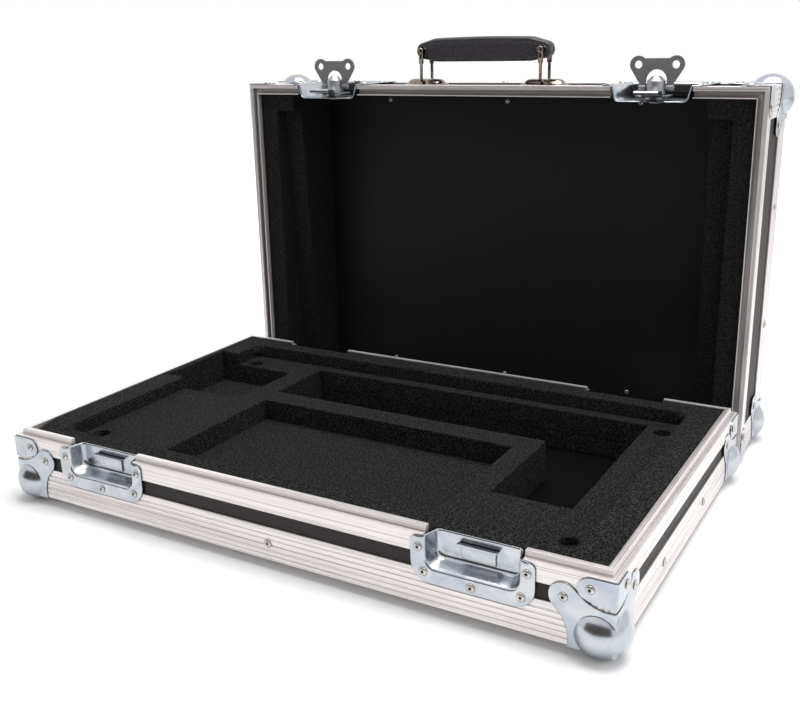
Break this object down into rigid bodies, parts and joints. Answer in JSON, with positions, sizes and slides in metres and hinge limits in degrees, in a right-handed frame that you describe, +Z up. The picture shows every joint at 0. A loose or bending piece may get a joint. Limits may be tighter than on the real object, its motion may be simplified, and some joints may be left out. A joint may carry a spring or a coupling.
{
  "type": "lighting console flight case",
  "caption": "Foam-lined flight case for a lighting console: shallow base with ball corners and keepers, and its lift-off lid with butterfly latches and a handle, standing behind it.",
  "frame": {"origin": "on the floor under the middle of the base and the standing lid together", "axes": "+X along the front towards the right, +Y from the base's front to the lid behind it, +Z up"},
  "size_m": [0.618, 0.5084, 0.427],
  "materials": {
    "laminate": "satin",
    "extrusion": "satin",
    "zinc": "satin",
    "rivet": "satin",
    "foam": "matte",
    "latch_metal": "satin",
    "nickel": "gloss",
    "grip": "matte"
  },
  "bodies": {
    "base": {"base_floor_panel": "laminate", "base_front_panel": "laminate", "base_back_panel": "laminate", "base_side_panels": "laminate", "base_edge_angles": "extrusion", "base_corner_angles": "extrusion", "base_rim_front": "extrusion", "base_rim_back": "extrusion", "base_rim_sides": "extrusion", "base_ball_corners": "zinc", "base_corner_braces": "zinc", "base_corner_rivets": "rivet", "keeper_rivets": "rivet", "base_edge_rivets": "rivet", "keeper_dish_front_left": "zinc", "keeper_dish_front_right": "zinc", "keeper_dish_back_left": "zinc", "keeper_dish_back_right": "zinc", "keeper_hooks": "zinc", "base_foam_pad": "foam", "base_foam_insert": "foam", "base_foam_surround": "foam"},
    "lid": {"lid_top_panel": "laminate", "lid_front_panel": "laminate", "lid_back_panel": "laminate", "lid_side_panels": "laminate", "lid_edge_angles": "extrusion", "lid_corner_angles": "extrusion", "lid_rim_front": "extrusion", "lid_rim_back": "extrusion", "lid_rim_sides": "extrusion", "lid_ball_corners": "zinc", "lid_corner_braces": "zinc", "lid_corner_rivets": "rivet", "latch_rivets": "rivet", "lid_edge_rivets": "rivet", "latch_dish_front_left": "zinc", "latch_dish_front_right": "zinc", "latch_dish_back_left": "zinc", "latch_dish_back_right": "zinc", "lid_foam_left": "foam", "lid_foam_right": "foam", "handle_cups": "nickel"},
    "latch_spindle_front_left": {"latch_spindle_front_left": "latch_metal"},
    "latch_wing_front_left": {"latch_wing_front_left": "latch_metal"},
    "latch_hook_front_left": {"latch_hook_front_left": "latch_metal"},
    "latch_spindle_front_right": {"latch_spindle_front_right": "latch_metal"},
    "latch_wing_front_right": {"latch_wing_front_right": "latch_metal"},
    "latch_hook_front_right": {"latch_hook_front_right": "latch_metal"},
    "latch_spindle_back_left": {"latch_spindle_back_left": "latch_metal"},
    "latch_wing_back_left": {"latch_wing_back_left": "latch_metal"},
    "latch_hook_back_left": {"latch_hook_back_left": "latch_metal"},
    "latch_spindle_back_right": {"latch_spindle_back_right": "latch_metal"},
    "latch_wing_back_right": {"latch_wing_back_right": "latch_metal"},
    "latch_hook_back_right": {"latch_hook_back_right": "latch_metal"},
    "bail_left": {"handle_bail_left": "nickel"},
    "bail_right": {"handle_bail_right": "nickel"},
    "grip": {"handle_grip": "grip", "handle_eyelets": "nickel"}
  },
  "joints": [
    {"name": "lid_lift", "type": "slide", "parent": "base", "child": "lid", "axis": [0, 0, 1], "range_m": [0, 0.4]},
    {"name": "turn_front_left", "type": "hinge", "parent": "lid", "child": "latch_spindle_front_left", "pos_m": [-0.189, 0.16975, 0.377], "axis": [0, 0, 1], "range_deg": [0, 180]},
    {"name": "fold_front_left", "type": "hinge", "parent": "latch_spindle_front_left", "child": "latch_wing_front_left", "pos_m": [-0.189, 0.16975, 0.375], "axis": [-1, 0, 0], "range_deg": [0, 90]},
    {"name": "hook_front_left", "type": "slide", "parent": "lid", "child": "latch_hook_front_left", "axis": [0, 0.951, -0.3091], "range_m": [0, 0.00842]},
    {"name": "turn_front_right", "type": "hinge", "parent": "lid", "child": "latch_spindle_front_right", "pos_m": [0.189, 0.16975, 0.377], "axis": [0, 0, 1], "range_deg": [0, 180]},
    {"name": "fold_front_right", "type": "hinge", "parent": "latch_spindle_front_right", "child": "latch_wing_front_right", "pos_m": [0.189, 0.16975, 0.375], "axis": [-1, 0, 0], "range_deg": [0, 90]},
    {"name": "hook_front_right", "type": "slide", "parent": "lid", "child": "latch_hook_front_right", "axis": [0, 0.951, -0.3091], "range_m": [0, 0.00842]},
    {"name": "turn_back_left", "type": "hinge", "parent": "lid", "child": "latch_spindle_back_left", "pos_m": [-0.189, 0.16975, 0.009], "axis": [0, 0, -1], "range_deg": [0, 180]},
    {"name": "fold_back_left", "type": "hinge", "parent": "latch_spindle_back_left", "child": "latch_wing_back_left", "pos_m": [-0.189, 0.16975, 0.011], "axis": [-1, 0, 0], "range_deg": [0, 90]},
    {"name": "hook_back_left", "type": "slide", "parent": "lid", "child": "latch_hook_back_left", "axis": [0, 0.951, 0.3091], "range_m": [0, 0.00842]},
    {"name": "turn_back_right", "type": "hinge", "parent": "lid", "child": "latch_spindle_back_right", "pos_m": [0.189, 0.16975, 0.009], "axis": [0, 0, -1], "range_deg": [0, 180]},
    {"name": "fold_back_right", "type": "hinge", "parent": "latch_spindle_back_right", "child": "latch_wing_back_right", "pos_m": [0.189, 0.16975, 0.011], "axis": [-1, 0, 0], "range_deg": [0, 90]},
    {"name": "hook_back_right", "type": "slide", "parent": "lid", "child": "latch_hook_back_right", "axis": [0, 0.951, 0.3091], "range_m": [0, 0.00842]},
    {"name": "bail_left_swing", "type": "hinge", "parent": "lid", "child": "bail_left", "pos_m": [-0.079, 0.19095, 0.3805], "axis": [0, 1, 0], "range_deg": [-60, 60]},
    {"name": "bail_right_swing", "type": "hinge", "parent": "lid", "child": "bail_right", "pos_m": [0.063, 0.19095, 0.3805], "axis": [0, 1, 0], "range_deg": [-60, 60]},
    {"name": "grip_level", "type": "hinge", "parent": "bail_left", "child": "grip", "pos_m": [-0.079, 0.19095, 0.4125], "axis": [0, 1, 0], "range_deg": [-60, 60]}
  ],
  "couplings": [
    {"joint": "hook_front_left", "follows": "turn_front_left", "m_per_rad": 0.0026776},
    {"joint": "hook_front_right", "follows": "turn_front_right", "m_per_rad": 0.0026776},
    {"joint": "hook_back_left", "follows": "turn_back_left", "m_per_rad": 0.0026776},
    {"joint": "hook_back_right", "follows": "turn_back_right", "m_per_rad": 0.0026776},
    {"joint": "bail_right_swing", "follows": "bail_left_swing", "ratio": 1},
    {"joint": "grip_level", "follows": "bail_left_swing", "ratio": -1}
  ]
}
